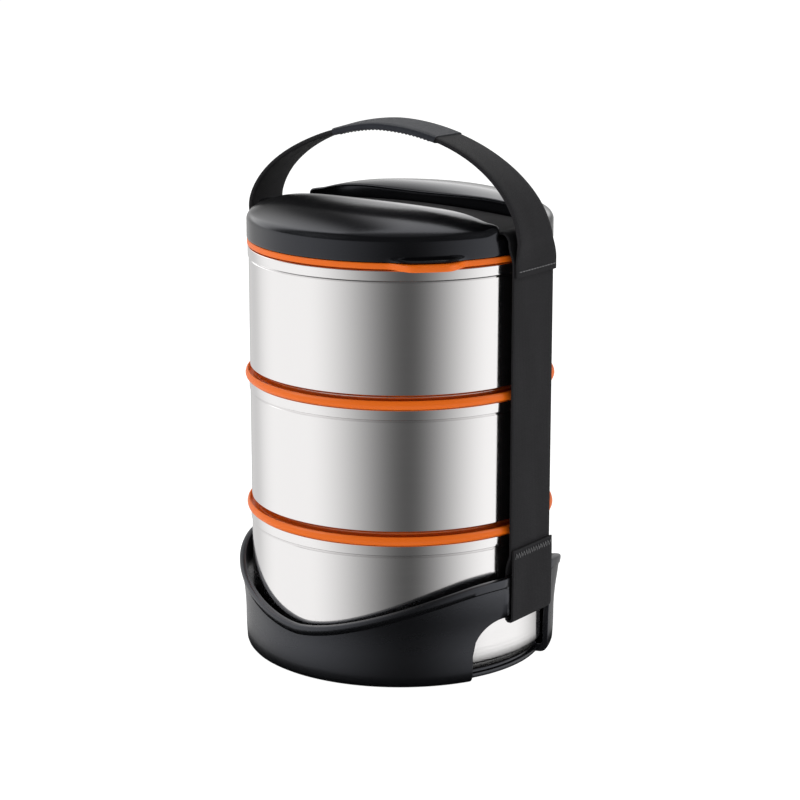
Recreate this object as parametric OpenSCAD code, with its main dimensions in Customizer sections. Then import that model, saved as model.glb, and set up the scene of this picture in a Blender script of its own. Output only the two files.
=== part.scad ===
// Three-tier tiffin carrier. Steel containers with sealing lids stand in a plastic
// cradle under a domed cover. A webbing strap runs up both sides and over the
// cover, and carries a soft loop handle.
// +X points at one side of the strap, +Z is up, and the origin is the middle of
// the cradle's underside. All sizes are in millimetres.

/* [Containers] */
// Outer diameter of the steel containers
container_d = 130; // [128:0.5:131]
// Height of the middle and the upper container
container_h = 56; // [48:1:64]
// Extra height of the lower container, which stands in the cradle
lower_extra_h = 2.2; // [0:0.1:4]
// Thickness of the steel sheet
sheet_t = 0.8; // [0.5:0.1:1.2]
// Height of the stiffening band under each rim
rim_band_h = 4.5; // [3:0.5:8]

/* [Lids] */
// Height of a lid's outer bead, which shows between two containers
bead_h = 4; // [3:0.2:5]
// How far the bead stands out past the container wall
bead_out = 2.1; // [0.8:0.1:2.2]
// Depth of the plug that goes down into the container
plug_h = 5; // [4:0.5:8]
// Width of the finger tab on the upper lid
tab_w = 38; // [20:1:44]
// How far the finger tab stands out past the lid
tab_out = 9; // [5:0.5:12]
// Direction of the finger tab, in degrees from +X
tab_turn = -44; // [-60:1:-35]

/* [Cover] */
// Height of the cover's upright side
cover_side_h = 8; // [6:0.5:10]
// Height of the whole cover above the upper lid
cover_h = 20; // [16:0.5:24]
// Width of the channel that the strap lies in
channel_w = 33; // [32:0.5:40]

/* [Cradle] */
// Thickness of the cradle's floor
floor_t = 3.6; // [2.5:0.1:5]
// Height of the cradle's edge halfway between the lobes
valley_h = 23.6; // [20:0.2:30]
// Height of the lobes that hold the strap
lobe_h = 44.6; // [42:0.2:49]
// How far the wavy edge is turned against the strap, in degrees
lobe_turn = -4; // [-6:0.5:6]
// Top of the window under each strap bar
window_top = 26.5; // [24:0.5:28]

/* [Strap] */
// Width of the webbing
webbing_w = 30; // [25:1:30]
// Thickness of one layer of webbing
webbing_t = 1.4; // [1:0.1:1.5]
// Thickness of the handle, two layers sewn together
handle_t = 2.4; // [2:0.1:2.6]
// Height of the handle's top above the ground
handle_top = 230.5; // [225:0.5:240]

/* [Hidden] */
$fn = 128;

big = 200;                        // longer than the whole object
gap = 0.2;                        // play between pieces that come apart
r_in = container_d / 2 - sheet_t; // inside of a container
r_out = container_d / 2;          // outside of a container
r_bead = r_out + bead_out;        // outside of a lid's bead
corner_r = 4;                     // rounding of a container's foot
recess_h = 1.8;                   // a lid's recessed top above the rim
tier = container_h + recess_h + gap;
rim_lower = floor_t + gap + container_h + lower_extra_h;
rim_middle = rim_lower + tier;
rim_upper = rim_middle + tier;
cover_z = rim_upper + 3.4;
r_cover = r_out + 0.7;
half_w = webbing_w / 2;

u_strap = r_bead + gap + webbing_t / 2;  // middle of the side straps' thickness
pocket_u = r_out + 1.9;                  // inner face of the strap bars
loop_end_z = 56;                         // sewn end of the lower loops
flex_end_z = 88;                         // top of the stretch that bends when the strap swings
belt_end_z = cover_z - 3.4;              // where the side straps pass into the belt
hem_z = 172.5;                           // lower end of the handle webbing
grip_z = 182;                            // where the handle can start to bend

// Points along an arc, from angle a0 to a1
function arc(c, r, a0, a1, n = 6) = [
    for (i = [0 : n]) let (a = a0 + (a1 - a0) * i / n) c + r * [cos(a), sin(a)]
];

// Unit normal of an open line of points at point i
function normal_at(p, i) =
    let (a = p[max(i - 1, 0)], b = p[min(i + 1, len(p) - 1)], d = (b - a) / norm(b - a)) [-d[1], d[0]];

// Outline of a ribbon of thickness t along an open line of points
function ribbon(p, t) = concat(
    [for (i = [0 : len(p) - 1]) p[i] + normal_at(p, i) * t / 2],
    [for (i = [len(p) - 1 : -1 : 0]) p[i] - normal_at(p, i) * t / 2]
);

// A profile drawn in X and Z, extruded w wide across Y
module across(w) {
    rotate([90, 0, 0]) linear_extrude(height = w, center = true) children();
}

// A profile drawn in Y and Z, extruded from the middle out along +X
module outwards(length) {
    rotate([90, 0, 90]) linear_extrude(height = length) children();
}

// ---- containers -------------------------------------------------------------

module container(bottom, rim) {
    band = 0.4;
    color("silver") rotate_extrude() polygon(concat(
        [[0, bottom]],
        arc([r_out - corner_r, bottom + corner_r], corner_r, -90, 0),
        [[r_out, rim - rim_band_h], [r_out + band, rim - rim_band_h + band],
         [r_out + band, rim - band], [r_out, rim], [r_in, rim]],
        arc([r_out - corner_r, bottom + corner_r], corner_r - sheet_t, 0, -90),
        [[0, bottom + sheet_t]]
    ));
}

module container_lower() { container(floor_t + gap, rim_lower); }
module container_middle() { container(rim_lower + recess_h + gap, rim_middle); }
module container_upper() { container(rim_middle + recess_h + gap, rim_upper); }

// ---- lids -------------------------------------------------------------------

groove_top = 1.8;     // seal groove below the container's rim
groove_low = 3.6;
groove_d = 1;
plug_t = 2.2;

// Half section of a lid. edge is the outline of its outer bead, from below to above
function lid_section(rim, edge) = concat(
    [[0, rim + gap], [r_in - 0.4 - plug_t, rim + gap],
     [r_in - 0.4 - plug_t, rim - plug_h], [r_in - 0.4, rim - plug_h],
     [r_in - 0.4, rim - groove_low], [r_in - 0.4 - groove_d, rim - groove_low],
     [r_in - 0.4 - groove_d, rim - groove_top], [r_in - 0.4, rim - groove_top],
     [r_in - 0.4, rim + gap]],
    edge,
    [[0, rim + recess_h]]
);

module stacking_lid(rim) {
    round_r = 1.2;
    color("darkorange") rotate_extrude() polygon(lid_section(rim, concat(
        [[r_out + 0.5, rim + gap]],
        arc([r_bead - round_r, rim + gap + round_r], round_r, -60, 0),
        arc([r_bead - round_r, rim + gap + bead_h - round_r], round_r, 0, 80),
        [[r_out + 0.6, rim + gap + bead_h], [r_out + 0.6, rim + recess_h]]
    )));
}

module lid_lower() { stacking_lid(rim_lower); }
module lid_middle() { stacking_lid(rim_middle); }

module lid_upper() {
    lid_t = 3;
    color("darkorange") {
        rotate_extrude() polygon(lid_section(rim_upper, [
            [r_out, rim_upper + gap], [r_out + 0.6, rim_upper + gap + 0.6],
            [r_out + 0.6, rim_upper + gap + lid_t - 0.4], [r_out + 0.2, rim_upper + gap + lid_t],
            [r_out - 1.6, rim_upper + gap + lid_t], [r_out - 1.6, rim_upper + recess_h]
        ]));
        tab(rim_upper + gap + 0.5, 2.2, 0);
    }
}

// A finger tab where the edge swells out past the rim and back. inset makes it shorter
module tab(z, thick, inset) {
    half = tab_w / 2;
    rotate(tab_turn) translate([0, 0, z]) linear_extrude(height = thick) difference() {
        polygon(concat(
            [[r_out - 8, half]],
            [for (y = [half : -half / 10 : -half])
                [sqrt(r_out * r_out - y * y) + (tab_out - inset) * (0.5 + 0.5 * cos(180 * y / half)), y]],
            [[r_out - 8, -half]]
        ));
        circle(r = r_out + 0.1);
    }
}

module gasket(rim) {
    color("gainsboro") rotate_extrude() polygon([
        [r_in - 0.3 - groove_d, rim - groove_low + 0.1], [r_in - 0.15, rim - groove_low + 0.3],
        [r_in - 0.15, rim - groove_top - 0.3], [r_in - 0.3 - groove_d, rim - groove_top - 0.1]
    ]);
}

module gasket_lower() { gasket(rim_lower); }
module gasket_middle() { gasket(rim_middle); }
module gasket_upper() { gasket(rim_upper); }

// ---- cover ------------------------------------------------------------------

cover_top = cover_z + cover_h;
shell_t = 2.4;
belt_sag = 3;                                    // how far the belt falls towards the cover's edge
belt_mid_z = cover_top - 7.8;                    // middle of the belt's thickness over the cover
function belt_z(u) = belt_mid_z - belt_sag * pow(u / 60, 2);

// Half section of the cover before its channel is cut, raised or shrunk by t
function dome_section(t) = concat(
    [[0, cover_z + (t > 0 ? -1 : 0)], [r_cover - t, cover_z + (t > 0 ? -1 : 0)]],
    arc([r_cover - 3.2, cover_z + cover_side_h], 3.2 - t / 2, 0, 60),
    [for (r = [58 : -6 : 4]) [r, cover_top - t - 8 * pow(r / 62, 4)]],
    [[0, cover_top - t]]
);

module cover() {
    color("dimgray") difference() {
        rotate_extrude() polygon(dome_section(0));
        // the hollow underside stays under the channel's floor
        intersection() {
            rotate_extrude() polygon(dome_section(shell_t));
            translate([0, 0, cover_z - 2])
                cylinder(r = r_cover - shell_t, h = belt_mid_z - belt_sag - 1.3 - shell_t - cover_z + 2);
        }
        across(channel_w) polygon(concat(
            [[-big, cover_z - 1]],
            [[-r_out + 0.3, cover_z - 1], [-r_out + 0.3, belt_z(61) - 3]],
            [for (u = [-61 : 61 / 4 : 61]) [u, belt_z(u) - webbing_t / 2 - 0.3]],
            [[r_out - 0.3, belt_z(61) - 3], [r_out - 0.3, cover_z - 1]],
            [[big, cover_z - 1], [big, big * 2], [-big, big * 2]]
        ));
        // the two raised halves slope down towards the channel
        for (side = [0, 180]) rotate([0, 0, side])
            translate([0, channel_w / 2, cover_top - 3.4]) rotate([11, 0, 0])
                translate([-big / 2, -5, 0]) cube([big, 18, 10]);
    }
    color("dimgray") tab(cover_z - 0.1, 1.9, 1.5);
    // a ring that centres the cover on the lid
    color("dimgray") rotate_extrude() polygon([
        [r_cover - shell_t - 2.2, cover_z - 1], [r_cover - shell_t - 0.3, cover_z - 1],
        [r_cover - shell_t - 0.3, cover_z], [r_cover - shell_t + 0.2, cover_z + 0.3],
        [r_cover - shell_t + 0.2, cover_z + 1.5],
        [r_cover - shell_t - 2.2, cover_z + 1.5]
    ]);
}

// ---- cradle -----------------------------------------------------------------

floor_r = 63;          // edge of the floor inside the windows
bar_u = 68.6;          // outer face of the strap bars, which is flat
bar_half_w = 19;
flat_half_w = 17;      // half the width of the flat on the cradle's outside
window_v0 = -31;       // the window reaches further on one side of the strap
window_v1 = 20.5;

// Height of the wavy edge at distance u from the valley's middle
function edge_z(u) = min(lobe_h, valley_h + (lobe_h + 2 - valley_h) * pow(abs(u) / 70, 1.6));

module cradle_shell() {
    rotate_extrude() polygon(concat(
        [[0, 0]],
        arc([64.5, 3.4], 3.4, -90, -10, 5),
        [[68.2, 10], [68.2, 18], [68.7, 25], [69.5, 30.5], [70.2, 36], [70.7, 40], [70.7, lobe_h + 2],
         [68.3, lobe_h + 2], [68.3, 42], [67.6, 34], [66.4, 25], [65.7, 16], [65.7, 6], [64.6, floor_t],
         [0, floor_t]]
    ));
}

module window() {
    corner = 14;
    difference() {
        outwards(90) polygon(concat(
            [[window_v1, -1], [window_v1, window_top]],
            arc([window_v0 + corner, window_top - corner], corner, 90, 180),
            [[window_v0, -1]]
        ));
        translate([0, 0, -2]) cylinder(r = floor_r, h = floor_t + 2);
        cylinder(r = r_out, h = big);
    }
}

module cradle() {
    color("black") difference() {
        union() {
            cradle_shell();
            for (side = [0, 180]) rotate(side)
                translate([pocket_u, -bar_half_w, window_top])
                    cube([bar_u - pocket_u, 2 * bar_half_w, lobe_h - 1 - window_top]);
        }
        rotate(lobe_turn) across(big) polygon(concat(
            [[-75, big]],
            [for (i = [-10 : 10]) [i * 7.5, edge_z(i * 7.5)]],
            [[75, big]]
        ));
        for (side = [0, 180]) rotate(side) {
            window();
            translate([r_out - 5, -half_w - 0.8, window_top - 1])
                cube([pocket_u - r_out + 5, webbing_w + 1.6, big]);
            translate([bar_u, -flat_half_w, window_top - 6]) cube([10, 2 * flat_half_w, big]);
        }
    }
}

// ---- strap ------------------------------------------------------------------

// Middle line of the lower loop on the +X side: down inside the bar, under it and up outside
loop_line = concat(
    [[u_strap, loop_end_z], [u_strap, 53.5], [r_out + 1.05, 49], [r_out + 1.05, 27.5]],
    arc([r_out + 2.825, 26], 1.775, 180, 360, 8),
    [[69.6, 49], [u_strap + webbing_t + 0.3, loop_end_z]]
);

module strap_loop(side) {
    color([0.2, 0.2, 0.21]) rotate(side) across(webbing_w) polygon(ribbon(loop_line, webbing_t));
}

module strap_loop_right() { strap_loop(0); }
module strap_loop_left() { strap_loop(180); }

// A flat upright length of webbing on the +X side, centred on u
module upright(side, u, thick, low, high) {
    color([0.2, 0.2, 0.21]) rotate(side)
        translate([u - thick / 2, -half_w, low]) cube([thick, webbing_w, high - low]);
}

module strap_flex_right() { upright(0, u_strap, webbing_t, loop_end_z, flex_end_z); }
module strap_flex_left() { upright(180, u_strap, webbing_t, loop_end_z, flex_end_z); }
module side_strap_right() { upright(0, u_strap, webbing_t, flex_end_z, belt_end_z); }
module side_strap_left() { upright(180, u_strap, webbing_t, flex_end_z, belt_end_z); }
module handle_hem_right() { upright(0, u_strap + webbing_t + 0.1, webbing_t, hem_z, grip_z - gap); }
module handle_hem_left() { upright(180, u_strap + webbing_t + 0.1, webbing_t, hem_z, grip_z - gap); }

// One half of the belt's middle line, from the cover's edge to its middle
belt_edge_u = r_cover + 0.2;
belt_half = concat(
    [[u_strap, belt_end_z], [u_strap, belt_end_z + 1], [r_cover + 0.9, cover_z + 1.1], [belt_edge_u, cover_z + 3.6]],
    arc([belt_edge_u - 4.5, cover_z + 4.8], 4.5, 0, 75, 5),
    [for (u = [60 : -12 : 12]) [u, belt_z(u)]]
);

module hold_down_belt() {
    n = len(belt_half);
    color([0.2, 0.2, 0.21]) across(webbing_w) polygon(ribbon(concat(
        belt_half,
        [[0, belt_z(0)]],
        [for (i = [n - 1 : -1 : 0]) [-belt_half[i][0], belt_half[i][1]]]
    ), webbing_t));
}

// ---- handle -----------------------------------------------------------------

handle_u = u_strap + 1;                                    // middle of the handle's thickness
shoulder_z = 186;                                          // where the arch starts
peak_u = -3.4;                                             // the soft arch leans to one side
peak_z = handle_top - handle_t / 2;

// Height of the arch's middle line: a blunt curve on the left, a more slanting one on the right
function arch_drop(t, n, m) = 1 - pow(max(1 - pow(t, n), 0), 1 / m);
function arch_z(u) = peak_z - (peak_z - shoulder_z) * (u < peak_u
    ? arch_drop((peak_u - u) / (handle_u + peak_u), 1.6, 2.1)
    : arch_drop((u - peak_u) / (handle_u - peak_u), 2, 1.9));

arch_line = concat(
    [[handle_u, grip_z]],
    [for (a = [0 : 7.5 : 180]) let (u = handle_u * cos(a)) [u, arch_z(u)]],
    [[-handle_u, grip_z]]
);

module handle_grip() {
    color([0.22, 0.22, 0.23]) across(webbing_w) polygon(ribbon(arch_line, handle_t));
}

// A woven sleeve around the top of the handle
label_low = -25;
label_high = 26;
module handle_label() {
    line = [for (i = [0 : 8]) let (u = label_low + (label_high - label_low) * i / 8) [u, arch_z(u)]];
    color([0.25, 0.26, 0.29]) difference() {
        across(webbing_w + 1.2) polygon(ribbon(line, handle_t + 1.2));
        across(webbing_w + 0.2) polygon(ribbon(arch_line, handle_t + 0.1));
    }
}

cradle();
container_lower();
container_middle();
container_upper();
lid_lower();
lid_middle();
lid_upper();
gasket_lower();
gasket_middle();
gasket_upper();
cover();
strap_loop_left();
strap_loop_right();
strap_flex_left();
strap_flex_right();
side_strap_left();
side_strap_right();
hold_down_belt();
handle_hem_left();
handle_hem_right();
handle_grip();
handle_label();
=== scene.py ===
"""Tiffin carrier: three steel containers in a plastic cradle, with a domed cover and a webbing strap.

Lengths are in millimetres in the row frame until a mesh is made. +X is one side of the strap and +Z is up.
"""

import math

import bmesh
import bpy
import numpy as np
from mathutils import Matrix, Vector


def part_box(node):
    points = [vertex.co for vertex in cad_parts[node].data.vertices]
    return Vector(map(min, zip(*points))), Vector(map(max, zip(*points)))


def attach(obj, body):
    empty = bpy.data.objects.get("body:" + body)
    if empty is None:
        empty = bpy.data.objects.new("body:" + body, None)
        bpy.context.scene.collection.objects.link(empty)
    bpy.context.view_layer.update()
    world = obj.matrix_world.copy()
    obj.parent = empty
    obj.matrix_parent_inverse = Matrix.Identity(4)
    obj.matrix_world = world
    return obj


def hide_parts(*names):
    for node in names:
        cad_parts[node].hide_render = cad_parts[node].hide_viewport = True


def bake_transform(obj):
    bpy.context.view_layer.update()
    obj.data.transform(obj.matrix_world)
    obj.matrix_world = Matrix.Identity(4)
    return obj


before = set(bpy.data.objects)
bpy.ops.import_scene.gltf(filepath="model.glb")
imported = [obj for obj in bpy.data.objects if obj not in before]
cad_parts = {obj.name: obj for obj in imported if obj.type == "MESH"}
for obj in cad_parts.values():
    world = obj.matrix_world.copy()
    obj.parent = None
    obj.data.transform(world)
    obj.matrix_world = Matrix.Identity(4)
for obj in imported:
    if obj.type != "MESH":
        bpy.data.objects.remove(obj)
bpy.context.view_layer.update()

MM = 0.001
COLUMNS = 288            # columns round a turned piece


# ---- camera -------------------------------------------------------------------

CAMERA_AZIMUTH = 36
CAMERA_PITCH = 13.76
CAMERA_AWAY = 1.0225     # metres from the Z axis
CAMERA_HEIGHT = 0.3589
LENS = 108.63


def make_camera():
    data = bpy.data.cameras.new("camera")
    data.lens = LENS
    data.sensor_width = 36
    data.clip_end = 100
    camera = bpy.data.objects.new("camera", data)
    azimuth = math.radians(CAMERA_AZIMUTH)
    camera.location = (CAMERA_AWAY * math.sin(azimuth), -CAMERA_AWAY * math.cos(azimuth), CAMERA_HEIGHT)
    camera.rotation_euler = (math.radians(90 - CAMERA_PITCH), 0, azimuth)
    bpy.context.scene.collection.objects.link(camera)
    bpy.context.scene.camera = camera


make_camera()


# ---- sizes from the CAD frame ---------------------------------------------------

def span(node, axis):
    """Lowest and highest millimetre of a CAD node along an axis."""
    low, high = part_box(node)
    return low[axis] / MM, high[axis] / MM


TIERS = ("lower", "middle", "upper")
BOTTOM = {t: span("container_" + t, 2)[0] for t in TIERS}
RIM = {t: span("container_" + t, 2)[1] for t in TIERS}
R_BAND = span("container_upper", 1)[1]          # rim band
R_OUT = R_BAND - 0.4                            # steel wall
SHEET = 0.8
R_IN = R_OUT - SHEET
R_BEAD = span("lid_lower", 0)[1]                # bead of a stacking lid
R_COVER = span("cover", 1)[1]
COVER_Z = RIM["upper"] + 3.4
COVER_TOP = span("cover", 2)[1]
HALF_W = span("side_strap_right", 1)[1]         # half the webbing's width
WEB_T = span("side_strap_right", 0)[1] - span("side_strap_right", 0)[0]
U_STRAP = sum(span("side_strap_right", 0)) / 2
LOOP_END = span("strap_loop_right", 2)[1]
HEM_LOW = span("handle_hem_right", 2)[0]
HANDLE_TOP = span("handle_grip", 2)[1]
CRADLE_TOP = span("cradle", 2)[1]


# ---- shapes ---------------------------------------------------------------------

def rounded(points, steps=5):
    """A line of points whose corners are rounded where a point carries its radius as a third number."""
    line = []
    for i, p in enumerate(points):
        here = np.array(p[:2], float)
        if len(p) < 3 or i in (0, len(points) - 1):
            line.append(tuple(here))
            continue
        before = np.array(points[i - 1][:2], float) - here
        after = np.array(points[i + 1][:2], float) - here
        len_a, len_b = np.linalg.norm(before), np.linalg.norm(after)
        before, after = before / len_a, after / len_b
        half = math.acos(max(-1, min(1, before @ after))) / 2
        if half > math.radians(89):
            line.append(tuple(here))
            continue
        reach = min(p[2] / math.tan(half), 0.48 * len_a, 0.48 * len_b)
        radius = reach * math.tan(half)
        middle = before + after
        centre = here + middle / np.linalg.norm(middle) * radius / math.sin(half)
        a0 = math.atan2(*(here + before * reach - centre)[::-1])
        a1 = math.atan2(*(here + after * reach - centre)[::-1])
        turn = (a1 - a0 + math.pi) % (2 * math.pi) - math.pi
        for k in range(steps + 1):
            a = a0 + turn * k / steps
            line.append((centre[0] + radius * math.cos(a), centre[1] + radius * math.sin(a)))
    return line


def smooth_step(x, low, high):
    """0 below low, 1 above high, and a smooth ramp between."""
    t = min(1, max(0, (x - low) / (high - low)))
    return t * t * (3 - 2 * t)


def smoothed(points, rounds=2):
    """An open line with its corners cut off, again and again."""
    p = [np.array(q, float) for q in points]
    for _ in range(rounds):
        cut = [p[0]]
        for a, b in zip(p, p[1:]):
            cut += [a * 0.75 + b * 0.25, a * 0.25 + b * 0.75]
        p = cut + [p[-1]]
    return p


def resampled(points, step):
    """An open line with points step apart."""
    p = np.array(points, float)
    lengths = np.concatenate([[0], np.cumsum(np.linalg.norm(np.diff(p, axis=0), axis=1))])
    count = max(2, round(lengths[-1] / step) + 1)
    at = np.linspace(0, lengths[-1], count)
    return np.stack([np.interp(at, lengths, p[:, k]) for k in range(p.shape[1])], axis=1)


class Build:
    """Points and faces of one piece, gathered part by part."""

    def __init__(self):
        self.points = []
        self.faces = []
        self.uvs = {}

    def add(self, points, faces, uvs=None):
        base = len(self.points)
        self.points += [tuple(p) for p in points]
        self.faces += [tuple(base + i for i in f) for f in faces]
        for i, uv in (uvs or {}).items():
            self.uvs[base + i] = uv

    def turned(self, profile, count=COLUMNS, closed=False, warp=None):
        """A profile of (r, z) turned round Z. It ends on the axis, unless it is a closed section."""
        points, rows = [], []
        for r, z in profile:
            if r < 1e-6:
                rows.append([len(points)] * count)
                points.append((0, 0, z))
                continue
            row = []
            for k in range(count):
                a = 2 * math.pi * k / count
                r2, z2 = warp(r, z, a) if warp else (r, z)
                row.append(len(points))
                points.append((r2 * math.cos(a), r2 * math.sin(a), z2))
            rows.append(row)
        if closed:
            rows.append(rows[0])
        faces = []
        for lower, upper in zip(rows, rows[1:]):
            for k in range(count):
                n = (k + 1) % count
                face = [lower[k], lower[n], upper[n], upper[k]]
                face = [v for i, v in enumerate(face) if v not in face[:i]]
                if len(face) > 2:
                    faces.append(face)
        self.add(points, faces)

    def grid(self, rows, wrap=False, uvs=None):
        """Quads between rows of points. wrap joins each row's end to its start."""
        count = len(rows[0])
        faces = []
        for i in range(len(rows) - 1):
            for k in range(count if wrap else count - 1):
                n = (k + 1) % count
                faces.append((i * count + k, i * count + n, (i + 1) * count + n, (i + 1) * count + k))
        self.add([p for row in rows for p in row], faces, uvs)

    def piece(self, name, material, body=None, slot=None, sharp=32, weld=1e-3):
        mesh = bpy.data.meshes.new(name)
        mesh.from_pydata([tuple(c * MM for c in p) for p in self.points], [], self.faces)
        if self.uvs:
            layer = mesh.uv_layers.new(name="cloth")
            for loop in mesh.loops:
                layer.data[loop.index].uv = self.uvs.get(loop.vertex_index, (0, 0))
        bm = bmesh.new()
        bm.from_mesh(mesh)
        bmesh.ops.remove_doubles(bm, verts=bm.verts, dist=weld * MM)
        bmesh.ops.dissolve_degenerate(bm, dist=weld * MM, edges=bm.edges)
        bmesh.ops.recalc_face_normals(bm, faces=bm.faces)
        bm.to_mesh(mesh)
        bm.free()
        mesh.shade_smooth()
        mesh.set_sharp_from_angle(angle=math.radians(sharp))
        mesh.materials.append(material)
        obj = bpy.data.objects.new(name, mesh)
        bpy.context.scene.collection.objects.link(obj)
        if body:
            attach(obj, body)
        return obj


# ---- materials ------------------------------------------------------------------

class Finish:
    """A node material with one Principled shader, and short ways to feed it."""

    def __init__(self, name, **sockets):
        self.material = bpy.data.materials.new(name)
        self.material.use_nodes = True
        self.tree = self.material.node_tree
        self.shader = self.tree.nodes["Principled BSDF"]
        for socket, value in sockets.items():
            self.shader.inputs[socket.replace("_", " ")].default_value = value

    def node(self, kind, inputs=None, **settings):
        made = self.tree.nodes.new(kind)
        for key, value in settings.items():
            setattr(made, key, value)
        for key, value in (inputs or {}).items():
            if hasattr(value, "is_output"):
                self.tree.links.new(value, made.inputs[key])
            else:
                made.inputs[key].default_value = value
        return made

    def place(self, scale=(1, 1, 1), source="Object"):
        """Object or UV coordinates, stretched by scale."""
        where = self.node("ShaderNodeTexCoord").outputs[source]
        return self.node("ShaderNodeMapping", {"Vector": where, "Scale": scale}).outputs["Vector"]

    def noise(self, vector, scale, detail=3, roughness=0.5):
        inputs = {"Vector": vector, "Scale": scale, "Detail": detail, "Roughness": roughness}
        return self.node("ShaderNodeTexNoise", inputs).outputs["Fac"]

    def ranged(self, value, low, high, from_low=0.3, from_high=0.7):
        inputs = {"Value": value, "From Min": from_low, "From Max": from_high, "To Min": low, "To Max": high}
        return self.node("ShaderNodeMapRange", inputs).outputs["Result"]

    def maths(self, operation, a, b=0.0):
        return self.node("ShaderNodeMath", {0: a, 1: b}, operation=operation).outputs[0]

    def mixed(self, share, a, b):
        inputs = {"Factor": share, "A": a, "B": b}
        made = self.tree.nodes.new("ShaderNodeMix")
        made.data_type = "RGBA"
        sockets = {"Factor": made.inputs[0], "A": made.inputs[6], "B": made.inputs[7]}
        for key, value in inputs.items():
            if hasattr(value, "is_output"):
                self.tree.links.new(value, sockets[key])
            else:
                sockets[key].default_value = value
        return made.outputs[2]

    def feed(self, socket, output):
        self.tree.links.new(output, self.shader.inputs[socket])

    def bump(self, height, strength, depth):
        inputs = {"Height": height, "Strength": strength, "Distance": depth}
        self.feed("Normal", self.node("ShaderNodeBump", inputs).outputs["Normal"])


def steel_finish():
    f = Finish("steel", Base_Color=(0.83, 0.82, 0.82, 1), Metallic=1.0, Roughness=0.12)
    hairlines = f.noise(f.place((12, 12, 900)), 1.0, 2)
    smears = f.noise(f.place((14, 14, 9)), 1.0, 3)
    rough = f.maths("ADD", f.ranged(hairlines, 0.08, 0.13), f.ranged(smears, -0.015, 0.03))
    f.feed("Roughness", rough)
    f.bump(hairlines, 0.05, 0.00002)
    return f.material


def orange_finish():
    f = Finish("orange_plastic", Roughness=0.36, Specular_IOR_Level=0.25)
    cloud = f.noise(f.place((22, 22, 22)), 1.0, 3)
    f.feed("Base Color", f.mixed(cloud, (0.78, 0.135, 0.004, 1), (0.84, 0.155, 0.006, 1)))
    grain = f.noise(f.place((2600, 2600, 2600)), 1.0, 2)
    f.feed("Roughness", f.ranged(cloud, 0.32, 0.40))
    f.bump(grain, 0.12, 0.00004)
    return f.material


def silicone_finish():
    f = Finish("silicone", Roughness=0.5, Subsurface_Weight=0.2)
    cloud = f.noise(f.place((60, 60, 60)), 1.0, 2)
    f.feed("Base Color", f.mixed(cloud, (0.72, 0.72, 0.70, 1), (0.82, 0.82, 0.80, 1)))
    f.bump(cloud, 0.1, 0.00005)
    return f.material


def moulded_finish(name, dark, light, level, rough_low, rough_high):
    f = Finish(name, Specular_IOR_Level=level, Specular_Tint=(0.86, 0.89, 1.0, 1))
    cloud = f.noise(f.place((30, 30, 30)), 1.0, 4)
    f.feed("Base Color", f.mixed(cloud, dark, light))
    scuffs = f.noise(f.place((9, 9, 40)), 1.0, 5, 0.65)
    f.feed("Roughness", f.ranged(scuffs, rough_low, rough_high))
    grain = f.noise(f.place((3200, 3200, 3200)), 1.0, 2)
    f.bump(grain, 0.16, 0.00004)
    return f.material


def webbing_finish(name, dark, light, rib=1.15, pick=0.9, sheen=0.25):
    """Woven webbing. U is across the webbing and V is along it, in millimetres."""
    f = Finish(name, Roughness=0.8, Specular_IOR_Level=0.12, Sheen_Weight=sheen, Sheen_Roughness=0.45)
    where = f.node("ShaderNodeTexCoord").outputs["UV"]
    parts = f.node("ShaderNodeSeparateXYZ", {"Vector": where})
    u, v = parts.outputs["X"], parts.outputs["Y"]
    # every second warp rib is shifted by half a pick, as in a plain tubular weave
    rib_at = f.maths("MULTIPLY", u, 1 / rib)
    pick_at = f.maths("MULTIPLY", v, 1 / pick)
    odd = f.maths("MULTIPLY", f.maths("FLOOR", f.maths("MODULO", f.maths("ADD", rib_at, 200.0), 2.0)), 0.5)
    across = f.maths("ABSOLUTE", f.maths("SINE", f.maths("MULTIPLY", rib_at, math.pi)))
    along = f.maths("ABSOLUTE", f.maths("SINE", f.maths("MULTIPLY", f.maths("ADD", pick_at, odd), math.pi)))
    thread = f.maths("MULTIPLY", f.maths("POWER", across, 0.6), f.maths("POWER", along, 0.5))
    fuzz = f.noise(f.place((1.6, 0.9, 1), "UV"), 1.0, 4, 0.65)
    height = f.maths("ADD", f.maths("MULTIPLY", thread, 0.5), f.maths("MULTIPLY", fuzz, 0.7))
    # painted shade: the base colour is darker in the grooves between threads than on their tops, and its
    # tone also varies at random along the webbing
    groove_shade_and_tone = f.maths("MULTIPLY", height, f.ranged(f.noise(f.place((0.06, 0.02, 1), "UV"), 1.0, 2), 0.75, 1.1))
    f.feed("Base Color", f.mixed(f.ranged(groove_shade_and_tone, 0.0, 1.0, 0.15, 1.0), dark, light))
    f.bump(height, 0.5, 0.00025)
    return f.material


def thread_finish(name, colour):
    f = Finish(name, Roughness=0.6, Sheen_Weight=0.2)
    twist = f.noise(f.place((900, 900, 900)), 1.0, 2)
    deep = tuple(c * 0.7 for c in colour[:3]) + (1,)
    f.feed("Base Color", f.mixed(f.ranged(twist, 0, 1), deep, colour))
    f.bump(twist, 0.3, 0.0001)
    return f.material


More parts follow.
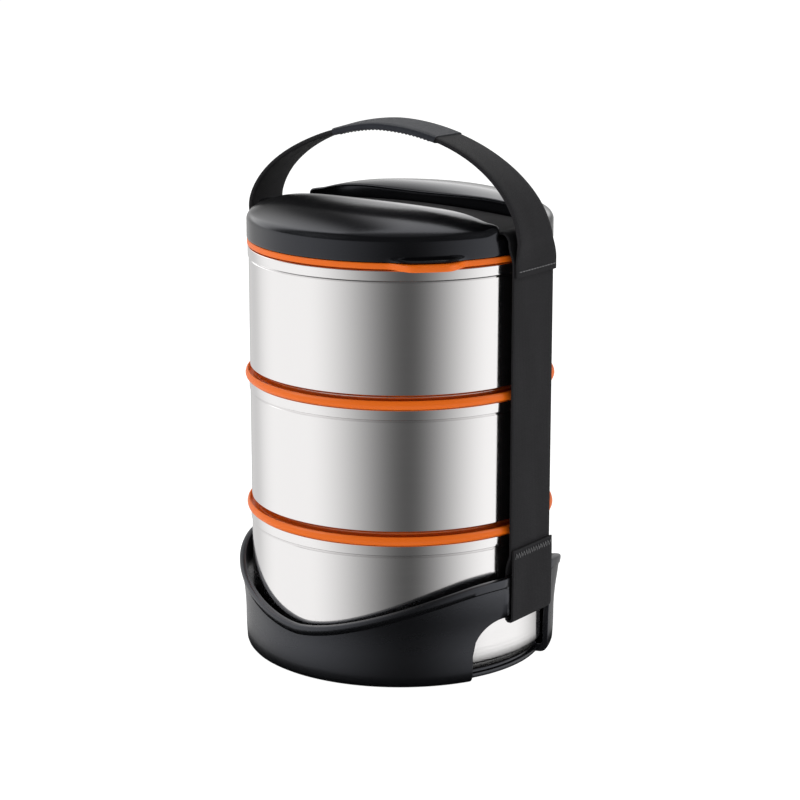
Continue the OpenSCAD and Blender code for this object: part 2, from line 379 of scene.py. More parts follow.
STEEL = steel_finish()
ORANGE = orange_finish()
SILICONE = silicone_finish()
CRADLE_BLACK = moulded_finish("cradle_plastic", (0.0016, 0.0017, 0.0020, 1), (0.0026, 0.0027, 0.0031, 1),
                              level=0.78, rough_low=0.24, rough_high=0.33)
COVER_BLACK = moulded_finish("cover_plastic", (0.0012, 0.0013, 0.0016, 1), (0.0020, 0.0021, 0.0025, 1),
                             level=0.57, rough_low=0.15, rough_high=0.21)
WEBBING = webbing_finish("webbing", (0.0052, 0.0051, 0.0057, 1), (0.0265, 0.0260, 0.0285, 1), sheen=0.02)
LABEL = webbing_finish("label", (0.012, 0.013, 0.017, 1), (0.036, 0.039, 0.048, 1), 0.5, 0.45, 0.15)
THREAD = thread_finish("grey_thread", (0.13, 0.13, 0.135, 1))
LABEL_THREAD = thread_finish("label_thread", (0.09, 0.095, 0.11, 1))


# ---- containers, lids and seals ---------------------------------------------------

def make_container(tier):
    low, rim = BOTTOM[tier], RIM[tier]
    band_low = rim - 4.5
    foot_r = R_OUT - 1.3
    profile = rounded([
        (0, low + 0.5), (48, low + 0.5), (50, low, 1.5), (foot_r, low, 1.6), (foot_r, low + 3.3, 0.3),
        (R_OUT, low + 4.1, 0.5),
        (R_OUT, band_low - 0.85), (R_OUT - 0.45, band_low - 0.4), (R_OUT, band_low),
        (R_BAND, band_low + 0.3, 0.3),
        (R_BAND, rim, 0.42),
        (R_IN + 0.1, rim, 0.35), (R_IN, rim - 1.2, 0.4),
        (R_IN, low + 4.9, 1.5), (foot_r - 0.8, low + 3.5, 1.0), (foot_r - 0.8, low + 0.8, 1.6),
        (50, low + 0.8, 1.5), (48, low + 1.3), (0, low + 1.3),
    ])
    b = Build()
    b.turned(profile)
    made = b.piece("steel_container_" + tier, STEEL, "container_" + tier, "steel")
    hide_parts("container_" + tier)


def lid_underside(rim):
    """Section of a lid's plug, from the axis out to the container's rim."""
    plug = R_IN - 0.4
    return [
        (0, rim + 0.2), (plug - 2.2, rim + 0.2, 1.0), (plug - 2.2, rim - 5, 0.6),
        (plug, rim - 5, 0.7), (plug, rim - 3.6),
        (plug - 1, rim - 3.6), (plug - 1, rim - 1.8), (plug, rim - 1.8), (plug, rim + 0.2),
    ]


def make_stacking_lid(tier):
    rim = RIM[tier]
    base = rim + 0.2
    top = base + 4.0
    deck = rim + 1.8
    lip = R_OUT + 0.6
    profile = rounded(lid_underside(rim) + [
        (R_OUT + 0.4, base, 0.2), (R_BEAD - 0.5, base + 0.5, 0.9), (R_BEAD, base + 1.9, 1.6),
        (R_BEAD - 0.35, top - 0.7, 1.3), (lip + 0.55, top, 0.5), (lip, top - 0.35, 0.35),
        (lip, deck, 0.5), (54, deck, 0.8), (52, deck - 0.7, 0.8), (0, deck - 0.7),
    ])
    b = Build()
    b.turned(profile)
    made = b.piece("orange_lid_" + tier, ORANGE, "lid_" + tier, "orange_plastic")
    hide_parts("lid_" + tier)


TAB_TURN = math.radians(-44)
TAB_FLAT = 6.0           # half the tab's full width, and half its width where it starts
TAB_HALF = 16.8
TAB_OUT = 7.6


def tab_swell(angle):
    """How far the finger tab stands out past the edge, in one direction round the axis."""
    turn = (angle - TAB_TURN + math.pi) % (2 * math.pi) - math.pi
    y = R_OUT * math.sin(turn)
    if abs(turn) > 1 or abs(y) > TAB_HALF:
        return 0.0
    return TAB_OUT * (1 - smooth_step(abs(y), TAB_FLAT, TAB_HALF))


def lid_tab(r, z, angle):
    if z < RIM["upper"] + 0.4:
        return r, z
    return r + tab_swell(angle) * smooth_step(r, R_OUT - 1.7, R_OUT + 0.1), z


def make_upper_lid():
    rim = RIM["upper"]
    base = rim + 0.2
    top = base + 3.0
    deck = rim + 1.8
    edge = R_OUT + 0.6
    profile = rounded(lid_underside(rim) + [
        (R_OUT - 1.5, base), (R_OUT - 1.5, base + 0.35), (R_OUT + 0.1, base + 0.35, 0.1),
        (edge, base + 0.6, 0.5), (edge, top, 0.6), (R_OUT - 1.6, top, 0.4),
        (R_OUT - 1.6, deck, 0.5), (0, deck),
    ])
    b = Build()
    b.turned(profile, warp=lid_tab)
    made = b.piece("orange_lid_upper", ORANGE, "lid_upper", "orange_plastic")
    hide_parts("lid_upper")


def make_gasket(tier):
    rim = RIM[tier]
    inner = R_IN - 1.3
    outer = R_IN - 0.15
    b = Build()
    b.turned(rounded([
        (inner, rim - 2.7), (inner, rim - 3.5, 0.2), (outer - 0.5, rim - 3.5, 0.3), (outer, rim - 3.0, 0.3),
        (outer - 0.35, rim - 2.7, 0.2), (outer, rim - 2.4, 0.3), (outer - 0.5, rim - 1.9, 0.3),
        (inner, rim - 1.9, 0.2), (inner, rim - 2.7),
    ], 3)[:-1], closed=True)
    made = b.piece("seal_" + tier, SILICONE, "lid_" + tier, "silicone")
    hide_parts("gasket_" + tier)


for t in TIERS:
    make_container(t)
    make_gasket(t)
make_stacking_lid("lower")
make_stacking_lid("middle")
make_upper_lid()


# ---- cover ------------------------------------------------------------------------

CHANNEL = 16.5           # half the channel's width
SHOULDER = 2.0           # rounding of the domes' round edges
CHORD_ROUND = 1.0        # rounding of the domes' straight edges
BELT_MID = COVER_TOP - 7.8
BELT_SAG = 3.0
RECESS_U = R_OUT - 0.3   # the cover is cut flat there, behind the side straps
WALL_TOP = COVER_Z + 5.8
CORNER = 2.0             # rounding where a dome's straight edge meets the round side
ARC_STEPS = 120          # faces along a dome's round side


def belt_z(u):
    """Middle of the belt's thickness over the cover."""
    return BELT_MID - BELT_SAG * (u / 60) ** 2


def cover_wall(angle):
    """Radius of the cover's upright side."""
    return min(R_COVER, RECESS_U / max(1e-6, abs(math.cos(angle))))


def dome_z(u, v):
    r = math.hypot(u, v)
    near = max(0, 1 - (abs(v) - CHANNEL) / 14)
    # the straight edges dip in the middle of their length, and end in a low knob
    dip = 3.2 * near ** 2 * (1 - smooth_step(abs(u), 0, 80))
    knob = 1.6 * math.exp(-((abs(u) - 61.5) / 4) ** 2 - ((abs(v) - CHANNEL - 1.5) / 4) ** 2)
    return COVER_TOP - 8.6 * (r / 64) ** 4.3 - dip + knob


def floor_z(u):
    """Height of the channel's floor, which rounds over into the cover's side."""
    flat = belt_z(u) - WEB_T / 2 - 0.3
    end = 58.0
    if abs(u) <= end:
        return flat
    t = (abs(u) - end) / (RECESS_U - end)
    start = belt_z(end) - WEB_T / 2 - 0.3
    slope = -2 * BELT_SAG * end / 3600
    drop = start - WALL_TOP
    rounding = 1 - math.sqrt(max(0, 1 - t ** 2.4))
    return start + slope * (abs(u) - end) - (drop + slope * (RECESS_U - end)) * rounding


def half_outline():
    """Plan outline of one dome, as its straight edge and its round side.

    It runs along the straight edge from -u to +u and back round the arc. The two parts come back as separate
    lists, with the angle where the corner meets the arc.
    """
    # the corner's rounding touches the straight edge and the round side
    cv = CHANNEL + CORNER
    cu = math.sqrt((R_COVER - CORNER) ** 2 - cv ** 2)
    touch = math.atan2(cv, cu)
    corner = []
    steps = 8
    for k in range(steps + 1):
        a = -math.pi / 2 + (touch + math.pi / 2) * k / steps
        corner.append((cu + CORNER * math.cos(a), cv + CORNER * math.sin(a)))
    straight = [(u, CHANNEL) for u in np.linspace(-cu, cu, 61)[1:-1]]
    chord = [(-u, v) for u, v in corner[::-1]] + straight + corner
    arc = []
    for k in range(1, ARC_STEPS):
        a = touch + (math.pi - 2 * touch) * k / ARC_STEPS
        arc.append((R_COVER * math.cos(a), R_COVER * math.sin(a)))
    return chord, arc, touch


def make_cover():
    b = Build()
    chord, arc, touch = half_outline()
    outline = np.array(chord + arc)
    count = len(outline)
    foot = [floor_z(u) if i not in (0, len(chord) - 1) else WALL_TOP for i, (u, v) in enumerate(chord)]
    foot += [WALL_TOP] * len(arc)
    # inward normals of the outline
    ahead = np.roll(outline, -1, axis=0) - np.roll(outline, 1, axis=0)
    ahead /= np.linalg.norm(ahead, axis=1)[:, None]
    inward = np.stack([-ahead[:, 1], ahead[:, 0]], axis=1)
    rounding = np.array([CHORD_ROUND if i < len(chord) else SHOULDER for i in range(count)])
    for _ in range(6):
        rounding = (np.roll(rounding, 1) + 2 * rounding + np.roll(rounding, -1)) / 4
    hub = np.array([0.0, 37.0])
    rows = []
    walls = 3
    for k in range(walls + 1):
        share = k / walls
        row = []
        for (u, v), low, shoulder in zip(outline, foot, rounding):
            high = dome_z(u, v) - shoulder
            row.append((u, v, low + (max(high, low + 0.3) - low) * share))
        rows.append(row)
    fillet = 7
    for k in range(1, fillet + 1):
        a = math.pi / 2 * k / fillet
        row = []
        for p, n, low, shoulder in zip(outline, inward, foot, rounding):
            q = p + n * shoulder * (1 - math.cos(a))
            row.append((q[0], q[1], max(dome_z(q[0], q[1]) - shoulder * (1 - math.sin(a)), low + 0.3)))
        rows.append(row)
    inner = np.array([r[:2] for r in rows[-1]])
    rings = 22
    for k in range(1, rings):
        s = (1 - k / rings) ** 0.85
        row = []
        for p in inner:
            q = hub + (p - hub) * s
            row.append((q[0], q[1], dome_z(q[0], q[1])))
        rows.append(row)
    for sign in (1, -1):
        turned = [[(sign * x, sign * y, z) for x, y, z in row] for row in rows]
        b.grid(turned, wrap=True)
        centre = (sign * hub[0], sign * hub[1], dome_z(*hub))
        last = turned[-1]
        b.add(last + [centre], [(k, (k + 1) % count, count) for k in range(count)])
    # channel floor, between the two straight edges
    across = 16
    rows = []
    for i, (u, v) in enumerate(chord):
        opposite = chord[len(chord) - 1 - i]
        row = []
        for k in range(across + 1):
            t = k / across
            y = v + (-opposite[1] - v) * t
            x = u
            if i in (0, len(chord) - 1):
                a = math.atan2(v, abs(u)) * (1 - 2 * t)
                x = math.copysign(cover_wall(a) * math.cos(a), u)
                y = cover_wall(a) * math.sin(a)
                row.append((x, y, WALL_TOP))
                continue
            # rows near the ends bow out towards the round side
            reach = smooth_step(abs(u), 45, chord[-1][0])
            bow = (math.sqrt(max(0, R_COVER ** 2 - y ** 2)) - math.sqrt(R_COVER ** 2 - v ** 2)) * reach
            bow = min(bow, RECESS_U - 0.05 - abs(u))
            x = u + math.copysign(max(0, bow), u)
            row.append((x, y, floor_z(x) if 0 < k < across else foot[i]))
        rows.append(row)
    b.grid(rows)
    # upright side, underside and the hollow's ceiling, on the columns of the parts above
    ring = sorted(math.atan2(y, x) for x, y, z in rows[-1])
    angles = ring[:-1] + [touch + (math.pi - 2 * touch) * k / ARC_STEPS for k in range(ARC_STEPS)]
    angles += [a + math.pi for a in ring[:-1]]
    angles += [math.pi + touch + (math.pi - 2 * touch) * k / ARC_STEPS for k in range(ARC_STEPS)]
    side = []
    wall_t = 2.2
    ceiling = COVER_Z + 5.2
    section = [
        (0, WALL_TOP), (0, COVER_Z + 4), (0, COVER_Z + 3.1), (0, COVER_Z + 2.7), (0, COVER_Z + 2.3),
        (0, COVER_Z + 1.9), (0, COVER_Z + 1.5), (0, COVER_Z + 1.1), (0, COVER_Z + 0.5),
        (0.15, COVER_Z + 0.15), (0.5, COVER_Z),
        (wall_t - 0.3, COVER_Z), (wall_t, COVER_Z + 0.3), (wall_t, COVER_Z + 2.2), (wall_t, ceiling - 1),
        (wall_t + 0.4, ceiling - 0.3), (wall_t + 1.2, ceiling),
    ]
    for inset, z in section:
        swell = 0.5 * (1 - smooth_step(z, COVER_Z + 0.6, COVER_Z + 2.5))
        row = []
        for a in angles:
            r = cover_wall(a) - inset + tab_swell(a) * swell
            row.append((r * math.cos(a), r * math.sin(a), z))
        side.append(row)
    side.append([(20 * math.cos(a), 20 * math.sin(a), ceiling) for a in angles])
    b.grid(side, wrap=True)
    last = side[-1]
    n = len(last)
    b.add(last + [(0, 0, ceiling)], [(k, (k + 1) % n, n) for k in range(n)])
    made = b.piece("domed_cover", COVER_BLACK, "cover", "cover_plastic", sharp=40, weld=0.02)
    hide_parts("cover")


make_cover()


# ---- cradle -----------------------------------------------------------------------

LOBE_TURN = math.radians(-4)
VALLEY = 23.6
LOBE = CRADLE_TOP
WINDOW_TOP = 26.5
WINDOW_FAR = -31.0       # the window reaches further on one side of the strap
WINDOW_NEAR = 20.5
WINDOW_CORNER = 14.0
BAR_U = 68.5             # the strap bars are flat outside
BAR_HALF = 17.0
POCKET_U = 66.9
# the wall's outer and inner radius at each height
CRADLE_OUT = [(0, 67.9), (10, 68.2), (18, 68.2), (25, 68.7),
              (30.5, 69.5), (36, 70.2), (40, 70.7), (60, 70.7)]
CRADLE_IN = [(0, 65.7), (16, 65.7), (25, 66.4), (34, 67.6), (42, 68.3), (60, 68.3)]


def table_at(table, z):
    """Value of a table at z, with its corners rounded."""
    around = [z + d for d in (-3, -2, -1, 0, 1, 2, 3)]
    return float(np.mean(np.interp(around, [p[0] for p in table], [p[1] for p in table])))


def edge_z(angle):
    """Height of the cradle's wavy edge."""
    high = VALLEY + (LOBE + 2 - VALLEY) * abs(math.cos(angle - LOBE_TURN)) ** 1.6
    # the lobes level off softly
    return LOBE - math.log(1 + math.exp((LOBE - high) / 0.8)) * 0.8


def window_z(v):
    """Height of the window's top edge at v across it."""
    if v >= WINDOW_FAR + WINDOW_CORNER:
        return WINDOW_TOP
    d = WINDOW_FAR + WINDOW_CORNER - v
    return WINDOW_TOP - WINDOW_CORNER + math.sqrt(max(0, WINDOW_CORNER ** 2 - d ** 2))


def make_cradle():
    r_mid = 68.0
    a_far = math.asin(WINDOW_FAR / r_mid)
    a_near = math.asin(WINDOW_NEAR / r_mid)
    window_cols = 44
    solid_cols = 96
    inside = [a_far + (a_near - a_far) * k / window_cols for k in range(window_cols + 1)]
    rest = [a_near + (math.pi + a_far - a_near) * k / solid_cols for k in range(1, solid_cols)]
    half = inside + rest
    angles = half + [a + math.pi for a in half]
    per_half = len(half)
    low_levels = 10
    high_levels = 16
    outer, inner = [], []
    for k, a in enumerate(angles):
        j = k % per_half
        local = half[j]
        v = r_mid * math.sin(local)
        top = edge_z(a)
        if j <= window_cols:
            split = window_z(v)
        else:
            t = (local - a_near) / (math.pi + a_far - a_near)
            split = WINDOW_TOP - WINDOW_CORNER * smooth_step(t, 0, 1)
            split = min(split, top - 7)
        bar = smooth_step(BAR_HALF + 0.8 - abs(v), 0, 1.6)
        proud = 0.45 * (1 - bar)
        pocket = smooth_step(HALF_W + 1.0 - abs(v), 0, 0.8)
        col_out, col_in = [], []
        flat = abs(math.cos(local))
        for i in range(low_levels + 1):
            t = i / low_levels
            if i == 0:
                col_out.append((61.0, 0.0))
                col_in.append((61.0, 3.6))
                continue
            if i <= 5:
                g = math.radians(-90 + 80 * (i - 1) / 4)
                col_out.append((64.5 + 3.4 * math.cos(g), 3.4 + 3.4 * math.sin(g)))
                col_in.append([(63.4, 3.6), (64.4, 3.65), (65.2, 4.1), (65.6, 5.0), (65.7, 6.2)][i - 1])
                continue
            z = 3.4 + (split - 3.4) * (i - 5) / (low_levels - 5)
            col_out.append((table_at(CRADLE_OUT, z), z))
            col_in.append((table_at(CRADLE_IN, z), max(z, 6.2 + 0.6 * (i - 5))))
        lip = top - 4.0
        zs = [split + (lip - split) * i / (high_levels - 7) for i in range(1, high_levels - 6)]
        for z in zs:
            r_out = table_at(CRADLE_OUT, z)
            r_in = table_at(CRADLE_IN, z)
            r_out += (BAR_U / flat - r_out) * bar
            r_in += (min(r_in, POCKET_U / flat) - r_in) * bar
            r_in += (POCKET_U / flat - r_in) * pocket
            col_out.append((r_out, z))
            col_in.append((r_in, z))
        # a raised band follows the edge, and the edge is rounded
        r_lip = col_out[-1][0]
        in_lip = col_in[-1][0]
        r_top = table_at(CRADLE_OUT, top)
        r_top += (BAR_U / flat - r_top) * bar
        in_top = table_at(CRADLE_IN, top)
        in_top += (min(in_top, POCKET_U / flat) - in_top) * bar
        in_top += (POCKET_U / flat - in_top) * pocket
        round_r = 0.75
        col_out += [
            (r_lip + proud * 0.5, lip + 0.12), (r_lip + proud, lip + 0.4),
            (r_top + proud, (lip + top) / 2 + 0.2), (r_top + proud, top - round_r),
            (r_top + proud - round_r * 0.3, top - round_r * 0.3), (r_top + proud - round_r, top),
        ]
        col_in += [
            (in_lip, lip + 0.12), (in_lip, lip + 0.4), (in_top, (lip + top) / 2 + 0.2),
            (in_top, top - 0.5), (in_top + 0.15, top - 0.15), (in_top + 0.5, top),
        ]
        outer.append([(r * math.cos(a), r * math.sin(a), z) for r, z in col_out])
        inner.append([(r * math.cos(a), r * math.sin(a), z) for r, z in col_in])
    levels = len(outer[0])
    total = len(angles)
    b = Build()
    points = [p for col in outer for p in col] + [p for col in inner for p in col]
    shift = total * levels
    faces = []
    for k in range(total):
        n = (k + 1) % total
        j = k % per_half
        start = low_levels if j < window_cols else 0
        for i in range(start, levels - 1):
            faces.append((k * levels + i, n * levels + i, n * levels + i + 1, k * levels + i + 1))
            faces.append((shift + k * levels + i, shift + k * levels + i + 1,
                          shift + n * levels + i + 1, shift + n * levels + i))
        faces.append((k * levels + start, shift + k * levels + start,
                      shift + n * levels + start, n * levels + start))
        faces.append((k * levels + levels - 1, n * levels + levels - 1,
                      shift + n * levels + levels - 1, shift + k * levels + levels - 1))
        if j in (0, window_cols):
            for i in range(low_levels):
                faces.append((k * levels + i, k * levels + i + 1,
                              shift + k * levels + i + 1, shift + k * levels + i))
    b.add(points, faces)
    # floor
    b.turned(rounded([
        (0, 0.9), (44, 0.9), (45.5, 0.05, 0.8), (61.8, 0.05, 0.4), (63.2, 0.6, 0.6), (63.2, 2.3, 0.5),
        (61.4, 2.3, 0.3), (60.9, 3.55, 0.3), (46, 3.55, 1.0), (45, 2.9, 1.0), (0, 2.9),
    ]))
    made = b.piece("plastic_cradle", CRADLE_BLACK, "cradle", "cradle_plastic", sharp=34, weld=0.004)
    bevel = made.modifiers.new("edges", "BEVEL")
    bevel.width = 0.5 * MM
    bevel.segments = 2
    bevel.limit_method = "ANGLE"
    bevel.angle_limit = math.radians(55)
    bevel.use_clamp_overlap = True
    bevel.harden_normals = False
    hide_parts("cradle")


make_cradle()


# ---- webbing ----------------------------------------------------------------------

def straight_edges(line, half_w=HALF_W):
    """The two edges of level webbing whose middle runs along a line of (u, z)."""
    return [np.array([(u, side * half_w, z) for u, z in line]) for side in (-1, 1)]


def ribbon_part(b, near, far, thick):
    """Closed webbing between two edge lines. thick may be a number or a function of the length's share."""
    n = len(near)
    middle = (near + far) / 2
    run = np.concatenate([[0], np.cumsum(np.linalg.norm(np.diff(middle, axis=0), axis=1))])
    ahead_near, ahead_far = np.gradient(near, axis=0), np.gradient(far, axis=0)
    across = 16
    side = 4
    rows, uvs = [], {}
    for i in range(n):
        t = thick(run[i] / run[-1]) if callable(thick) else thick
        way = far[i] - near[i]
        w = np.linalg.norm(way) / 2
        way /= 2 * w
        edge = t * 0.5

        def swell(y):
            # the selvedges are a little thinner than the middle
            return 1 - 0.10 * smooth_step(abs(y) / w, 0.80, 0.93)

        section = []
        for k in range(across + 1):
            y = -(w - edge) + 2 * (w - edge) * k / across
            section.append((y, t / 2 * swell(y)))
        for k in range(1, side):
            a = math.pi / 2 - math.pi * k / side
            section.append((w - edge + edge * math.cos(a), edge * math.sin(a)))
        for k in range(across + 1):
            y = (w - edge) - 2 * (w - edge) * k / across
            section.append((y, -t / 2 * swell(y)))
        for k in range(1, side):
            a = -math.pi / 2 - math.pi * k / side
            section.append((-(w - edge) + edge * math.cos(a), edge * math.sin(a)))
        row = []
        for k, (y, h) in enumerate(section):
            share = 0.5 + y / (2 * w)
            ahead = ahead_near[i] * (1 - share) + ahead_far[i] * share
            normal = np.cross(ahead, way)
            normal /= np.linalg.norm(normal)
            row.append(near[i] + way * (y + w) + normal * h)
            uvs[i * len(section) + k] = (y + (0 if h > 0 else 0.5), run[i])
        rows.append(row)
    b.grid(rows, wrap=True, uvs=uvs)
    count = len(rows[0])
    for row in (rows[0], rows[-1]):
        hub = tuple(np.mean(np.array(row), axis=0))
        b.add(row + [hub], [(k, (k + 1) % count, count) for k in range(count)])


def stitch_row(b, path, step, length, radius):
    """Small stitches along a path of (point, normal). Each dips into the webbing at both ends."""
    points = np.array([p for p, n in path])
    normals = np.array([n for p, n in path])
    run = np.concatenate([[0], np.cumsum(np.linalg.norm(np.diff(points, axis=0), axis=1))])
    count = int(run[-1] / step)

    def at(distance, table):
        return np.array([np.interp(distance, run, table[:, k]) for k in range(3)])

    for k in range(count):
        start = (run[-1] - count * step) / 2 + k * step + (step - length) / 2
        rows = []
        for share in (0, 0.12, 0.3, 0.5, 0.7, 0.88, 1):
            d = start + length * share
            place, normal = at(d, points), at(d, normals)
            ahead = at(d + 0.05, points) - at(d - 0.05, points)
            ahead /= np.linalg.norm(ahead)
            normal /= np.linalg.norm(normal)
            aside = np.cross(ahead, normal)
            swell = math.sin(math.pi * (0.12 + 0.76 * share))
            centre = place + normal * radius * (1.5 * swell - 0.9)
            r = radius * (0.35 + 0.65 * swell)
            rows.append([centre + r * (math.cos(a) * aside + math.sin(a) * normal)
                         for a in np.linspace(0, 2 * math.pi, 9)[:-1]])
        b.grid(rows, wrap=True)
        for row in (rows[0], rows[-1]):
            hub = tuple(np.mean(np.array(row), axis=0))
            b.add(row + [hub], [(j, (j + 1) % 8, 8) for j in range(8)])


LOOP_U = U_STRAP + WEB_T + 0.1   # middle of a lower loop's sewn outer end


def strap_line():
    """Middle line of the main webbing, from one loop's outer end over the cover to the other's."""
    r = 1.65
    cu, cz = R_OUT + 2.7, WINDOW_TOP - 0.4
    loop = [(LOOP_U, LOOP_END), (LOOP_U, 50), (69.4, 44), (69.35, 34), (69.35, 30)]
    loop += [(cu + r * math.cos(math.radians(a)), cz + r * math.sin(math.radians(a)))
             for a in range(0, -181, -18)]
    loop += [(66.05, 29), (66.05, 40), (66.05, 46), (66.4, 49), (67.6, 52), (U_STRAP, 54), (U_STRAP, 58)]
    upright = [(U_STRAP, z) for z in range(62, 177, 4)]
    edge_u = R_COVER + 0.2
    bend = [(U_STRAP, COVER_Z - 2.4), (R_COVER + 0.9, COVER_Z + 1.1), (edge_u, COVER_Z + 3.6)]
    turn = 4.5
    bend += [(edge_u + turn * (math.cos(math.radians(a)) - 1),
              COVER_Z + 4.8 + turn * math.sin(math.radians(a)))
             for a in range(0, 76, 15)]
    top = [(u, belt_z(u)) for u in range(60, 0, -5)]
    right = loop + upright + bend + top
    left = [(-u, z) for u, z in right[::-1]]
    return resampled(smoothed(right + [(0, belt_z(0))] + left, 2), 1.1)


def strap_thick(share):
    """The strap is pressed thinner at its two sewn ends."""
    return WEB_T * (0.65 + 0.35 * smooth_step(min(share, 1 - share), 0, 0.012))


def make_strap():
    b = Build()
    near, far = straight_edges(strap_line())
    ribbon_part(b, near, far, strap_thick)
    made = b.piece("strap_webbing", WEBBING, None, "webbing", sharp=50)
    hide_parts("strap_loop_left", "strap_loop_right", "strap_flex_left", "strap_flex_right",
                "side_strap_left", "side_strap_right", "hold_down_belt")
    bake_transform(made)


HANDLE_T = 2.2
HEM_U = U_STRAP + WEB_T + 0.1    # middle of the handle's sewn ends

# the handle's two edges: top (u, z), height where the arch starts,
# and for each side its reach and two powers
NEAR_EDGE = {"top": (0.25, HANDLE_TOP - 0.6), "low": 186.5,
             "left": (69.6, 1.51, 2.07), "right": (70.9, 2.16, 1.92)}
FAR_EDGE = {"top": (-7.0, HANDLE_TOP - 1.8), "low": 185.5,
            "left": (68.6, 1.73, 2.09), "right": (75.0, 1.89, 1.81)}


def handle_edge(edge, side):
    """One edge of the handle, from the right hem over the arch to the left hem."""
    top_u, top_z = edge["top"]
    line = []
    for a in np.arange(0, 180.1, 2.5):
        t = abs(math.cos(math.radians(a)))
        reach, n, m = edge["right"] if a < 90 else edge["left"]
        u = top_u + math.copysign(reach * t, 90 - a)
        line.append((u, edge["low"] + (top_z - edge["low"]) * max(0, 1 - t ** n) ** (1 / m)))
    hem = (HEM_LOW, 174, 175.5, 177, 178.5)
    right = [(HEM_U, z) for z in hem] + [(HEM_U + (line[0][0] - HEM_U) * 0.35, 182)]
    left = [(-HEM_U + (line[-1][0] + HEM_U) * 0.35, 182)] + [(-HEM_U, z) for z in hem[::-1]]
    line = smoothed(right + line + left, 2)
    out = []
    for u, z in line:
        high = smooth_step(z, 178, 194)
        out.append((u, side * (HALF_W - 0.25 * high) - 2 * high + 0.5 * u / 70 * high, z))
    return resampled(out, 0.9)


def handle_edges():
    near, far = handle_edge(NEAR_EDGE, -1), handle_edge(FAR_EDGE, 1)
    count = 300

    def even(line):
        at = np.linspace(0, len(line) - 1, count)
        return np.stack([np.interp(at, range(len(line)), line[:, k]) for k in range(3)], axis=1)

    return even(near), even(far)


def handle_thick(share):
    """The handle is doubled between its hems."""
    return WEB_T + (HANDLE_T - WEB_T) * smooth_step(min(share, 1 - share), 0.035, 0.075)


def make_handle():
    near, far = handle_edges()
    b = Build()
    ribbon_part(b, near, far, handle_thick)
    made = b.piece("handle_webbing", WEBBING, None, "webbing", sharp=50)
    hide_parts("handle_hem_left", "handle_hem_right", "handle_grip")
    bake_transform(made)
    inside = [i for i in range(len(near)) if -23.5 <= near[i][0] <= 30.0 and near[i][2] > 200]
    inside = slice(inside[0], inside[-1] + 1)
    way = far[inside] - near[inside]
    way /= np.linalg.norm(way, axis=1)[:, None]
    low, high = near[inside] - way * 0.55, far[inside] + way * 0.55
    b = Build()
    ribbon_part(b, low, high, HANDLE_T + 1.0)
    label = b.piece("label_sleeve", LABEL, "handle", "label", sharp=50)
    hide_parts("handle_label")
    # a row of stitches runs round the sleeve's outer face
    sleeve_face = HANDLE_T / 2 + 0.47
    b = Build()
    for share in (0.07, 0.93):
        line = low + (high - low) * share
        normal = np.cross(np.gradient(line, axis=0), way)
        normal /= np.linalg.norm(normal, axis=1)[:, None]
        path = list(zip(line[3:-3] + normal[3:-3] * sleeve_face, normal[3:-3]))
        stitch_row(b, path, 1.9, 1.35, 0.2)
    for i in (4, -5):
        ahead = near[inside][i + 1] - near[inside][i - 1]
        normal = np.cross(ahead, way[i])
        normal /= np.linalg.norm(normal)
        line = [low[i] + (high[i] - low[i]) * k / 20 + normal * sleeve_face for k in range(1, 20)]
        stitch_row(b, [(p, normal) for p in line], 1.9, 1.35, 0.2)
    b.piece("label_stitches", LABEL_THREAD, "handle", "label")


def make_seams():
    """Stitches across the handle's hems, and zigzags across the ends of the lower loops."""
    hems, loops = Build(), Build()
    for side in (1, -1):
        out = np.array([side, 0, 0])
        face = side * (HEM_U + WEB_T / 2)
        across = np.linspace(-HALF_W + 1, HALF_W - 1, 20)
        line = [(np.array([face, y, HEM_LOW + 2.4]), out) for y in across]
        stitch_row(hems, line, 2.1, 1.6, 0.27)
        face = side * (LOOP_U + WEB_T / 2)
        for k in range(15):
            y = -HALF_W + 1 + k * (2 * HALF_W - 2) / 15
            pitch = (2 * HALF_W - 2) / 30
            for y0, y1, z0, z1 in ((y, y + pitch, LOOP_END - 3.8, LOOP_END - 1.4),
                                   (y + pitch, y + 2 * pitch, LOOP_END - 1.4, LOOP_END - 3.8)):
                path = []
                for t in np.linspace(0, 1, 5):
                    z = z0 + (z1 - z0) * t
                    path.append((np.array([face, y0 + (y1 - y0) * t, z]), out))
                length = math.dist(path[0][0], path[-1][0])
                stitch_row(loops, path, length - 0.01, length - 0.1, 0.16)
    hems.piece("hem_stitches", THREAD, "strap", "webbing")
    loops.piece("loop_stitches", THREAD, "cradle", "webbing")


make_strap()
make_handle()
make_seams()


# ---- stage ------------------------------------------------------------------------

def make_floor():
    size = 30.0
    mesh = bpy.data.meshes.new("floor")
    corners = [(-size, -size, 0), (size, -size, 0), (size, size, 0), (-size, size, 0)]
    mesh.from_pydata(corners, [], [(0, 1, 2, 3)])
    floor = bpy.data.objects.new("floor", mesh)
    f = Finish("pale_floor", Roughness=0.9, Specular_IOR_Level=0.0)
    grain = f.noise(f.place((6, 6, 6)), 1.0, 3)
    f.feed("Base Color", f.mixed(grain, (0.30, 0.30, 0.30, 1), (0.33, 0.33, 0.33, 1)))
    f.shader.inputs["Emission Color"].default_value = (1, 1, 1, 1)
    f.shader.inputs["Emission Strength"].default_value = 0.97
    mesh.materials.append(f.material)
    bpy.context.scene.collection.objects.link(floor)
    floor.visible_glossy = False


# Soft panels round the object. Each has its middle in degrees from the camera's side, half the width
# over which it is even, the width over which it fades out, and its strength.
SCREEN_R = 210.0
LOW_GLOW = 0.1
LOW_PANELS = [(-80, 15, 70, 0.95), (75, 10, 60, 1.0), (180, 30, 30, 0.4)]
HIGH_GLOW = 0.1
HIGH_PANELS = [(-120, 10, 25, 1.6), (160, 15, 25, 1.6)]
# height in millimetres, and whether it is lit by the low panels (0) or the high ones (1)
SCREEN_LEVELS = [(-60, 0), (205, 0), (225, 1), (700, 1)]


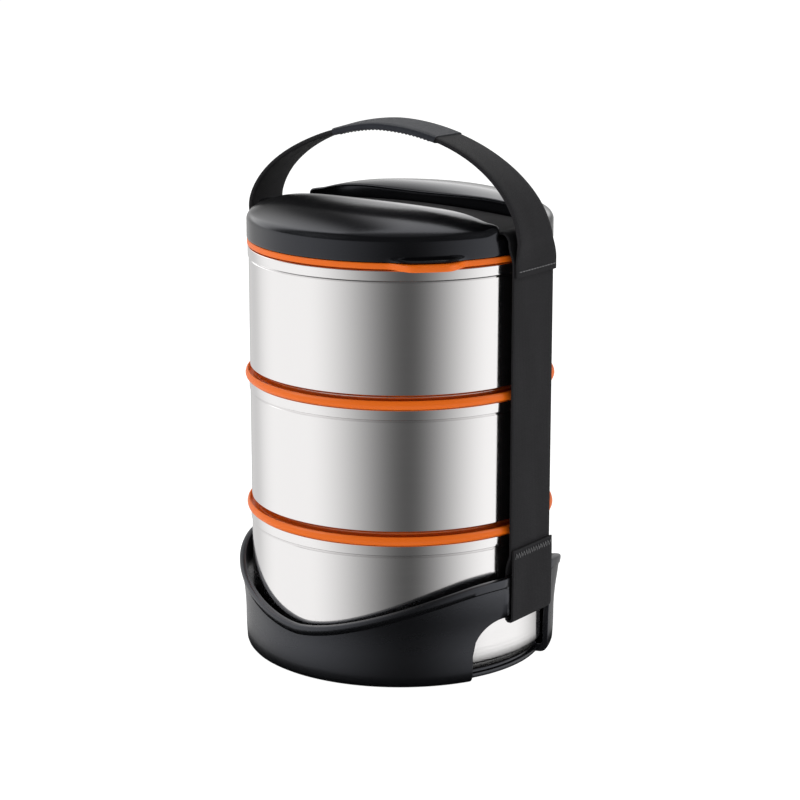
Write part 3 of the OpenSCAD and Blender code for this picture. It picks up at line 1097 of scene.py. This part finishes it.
def panel_light(angle, glow, panels):
    """Brightness in one direction, from an even glow and the panels."""
    light = glow
    for middle, even, fade, strength in panels:
        off = abs((angle - middle + 180) % 360 - 180)
        light += strength * (1 - smooth_step(off, even, even + fade))
    return light


def make_screen():
    """A round screen that only reflections see. Its brightness changes with direction."""
    cols = 360
    points, faces, values = [], [], []
    levels = len(SCREEN_LEVELS)
    for k in range(cols + 1):
        angle = k - 180
        a = math.radians(angle + CAMERA_AZIMUTH - 90)
        shades = [panel_light(angle, LOW_GLOW, LOW_PANELS), panel_light(angle, HIGH_GLOW, HIGH_PANELS)]
        for z, which in SCREEN_LEVELS:
            points.append((SCREEN_R * MM * math.cos(a), SCREEN_R * MM * math.sin(a), z * MM))
            values.append(float(shades[which]))
    for k in range(cols):
        for i in range(levels - 1):
            j = k * levels + i
            faces.append((j, j + levels, j + levels + 1, j + 1))
    mesh = bpy.data.meshes.new("screen")
    mesh.from_pydata(points, [], faces)
    glow = mesh.attributes.new("glow", "FLOAT", "POINT")
    glow.data.foreach_set("value", values)
    screen = bpy.data.objects.new("screen", mesh)
    f = Finish("screen", Base_Color=(0, 0, 0, 1), Specular_IOR_Level=0.0, Emission_Color=(1, 0.995, 0.99, 1))
    brightness = f.node("ShaderNodeAttribute", attribute_name="glow").outputs["Fac"]
    f.feed("Emission Strength", brightness)
    mesh.materials.append(f.material)
    bpy.context.scene.collection.objects.link(screen)
    screen.visible_camera = False
    screen.visible_diffuse = False
    screen.visible_shadow = False
    screen.visible_transmission = False
    screen.visible_volume_scatter = False


def area_light(name, place, target, size, power):
    data = bpy.data.lights.new(name, "AREA")
    data.shape = "RECTANGLE"
    data.size, data.size_y = size
    data.energy = power
    light = bpy.data.objects.new(name, data)
    light.location = place
    way = np.array(target) - np.array(place)
    light.rotation_euler = Vector(way).to_track_quat("-Z", "Y").to_euler()
    bpy.context.scene.collection.objects.link(light)
    return light


def make_lights():
    world = bpy.data.worlds.new("studio")
    bpy.context.scene.world = world
    world.use_nodes = True
    sky = world.node_tree.nodes["Background"]
    sky.inputs["Strength"].default_value = 0.27
    # the world is dark below the floor, where only reflections look
    where = world.node_tree.nodes.new("ShaderNodeTexCoord")
    height = world.node_tree.nodes.new("ShaderNodeSeparateXYZ")
    ramp = world.node_tree.nodes.new("ShaderNodeMapRange")
    ramp.inputs["From Min"].default_value = -0.3
    ramp.inputs["From Max"].default_value = 0.0
    ramp.inputs["To Min"].default_value = 0.02
    world.node_tree.links.new(where.outputs["Generated"], height.inputs["Vector"])
    world.node_tree.links.new(height.outputs["Z"], ramp.inputs["Value"])
    world.node_tree.links.new(ramp.outputs["Result"], sky.inputs["Color"])
    a = math.radians(CAMERA_AZIMUTH)
    right = np.array([math.cos(a), math.sin(a), 0])
    front = np.array([math.sin(a), -math.cos(a), 0])
    target = (0, 0, 0.12)
    area_light("key", tuple(-right * 1.1 + front * 0.25 + np.array([0, 0, 0.9])), target, (0.8, 0.8), 9)
    area_light("fill", tuple(right * 1.1 + front * 0.1 + np.array([0, 0, 0.8])), target, (0.9, 0.9), 8)
    area_light("top", tuple(front * -0.9 + np.array([0, 0, 1.35])), target, (1.8, 0.9), 7)


make_floor()
make_screen()
make_lights()
bpy.context.scene.view_settings.view_transform = "Standard"
